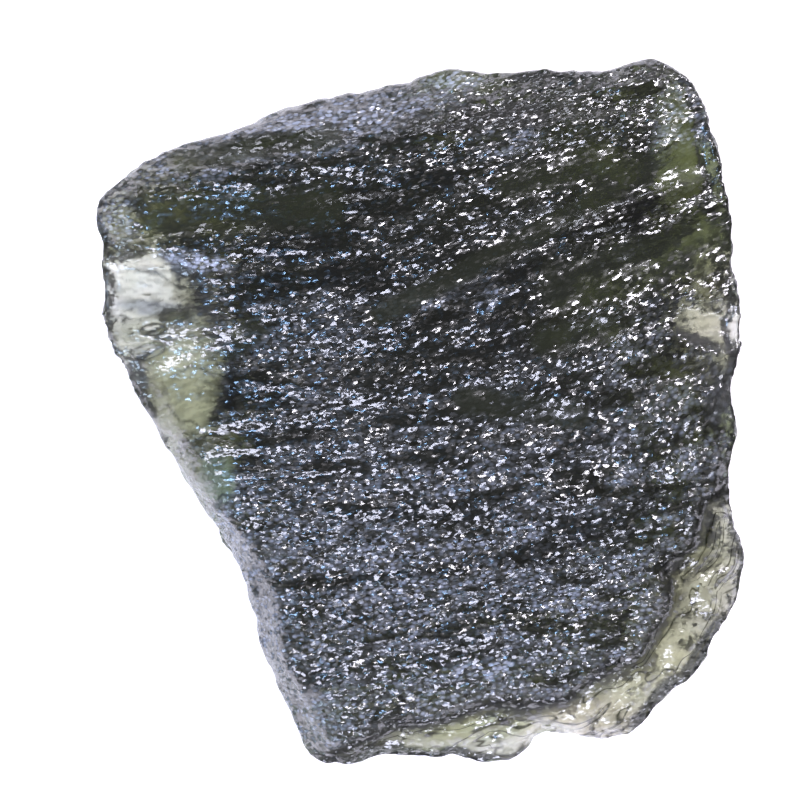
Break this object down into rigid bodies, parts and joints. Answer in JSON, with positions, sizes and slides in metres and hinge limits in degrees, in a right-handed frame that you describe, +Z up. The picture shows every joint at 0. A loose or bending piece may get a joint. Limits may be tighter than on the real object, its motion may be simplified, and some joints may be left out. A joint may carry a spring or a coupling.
{
  "type": "raw moldavite",
  "caption": "Rough natural green glass stone: a striated flat top, rounded and broken edges, a thin see-through flange and a small flat spot to rest on.",
  "frame": {"origin": "on the surface it rests on, under the middle of the stone's bounding box", "axes": "+Z up, square to the flat resting spot; +Y along the stone's longest side, towards the long rounded far edge; +X towards the straight right edge with the thin flange at its near end"},
  "size_m": [0.0179, 0.0194, 0.0075],
  "materials": {
    "moldavite_glass": "etched natural glass, bottle green to olive, near black where thick and pale yellow-green where thin"
  },
  "bodies": {
    "root": {"moldavite": "moldavite_glass"}
  },
  "joints": []
}
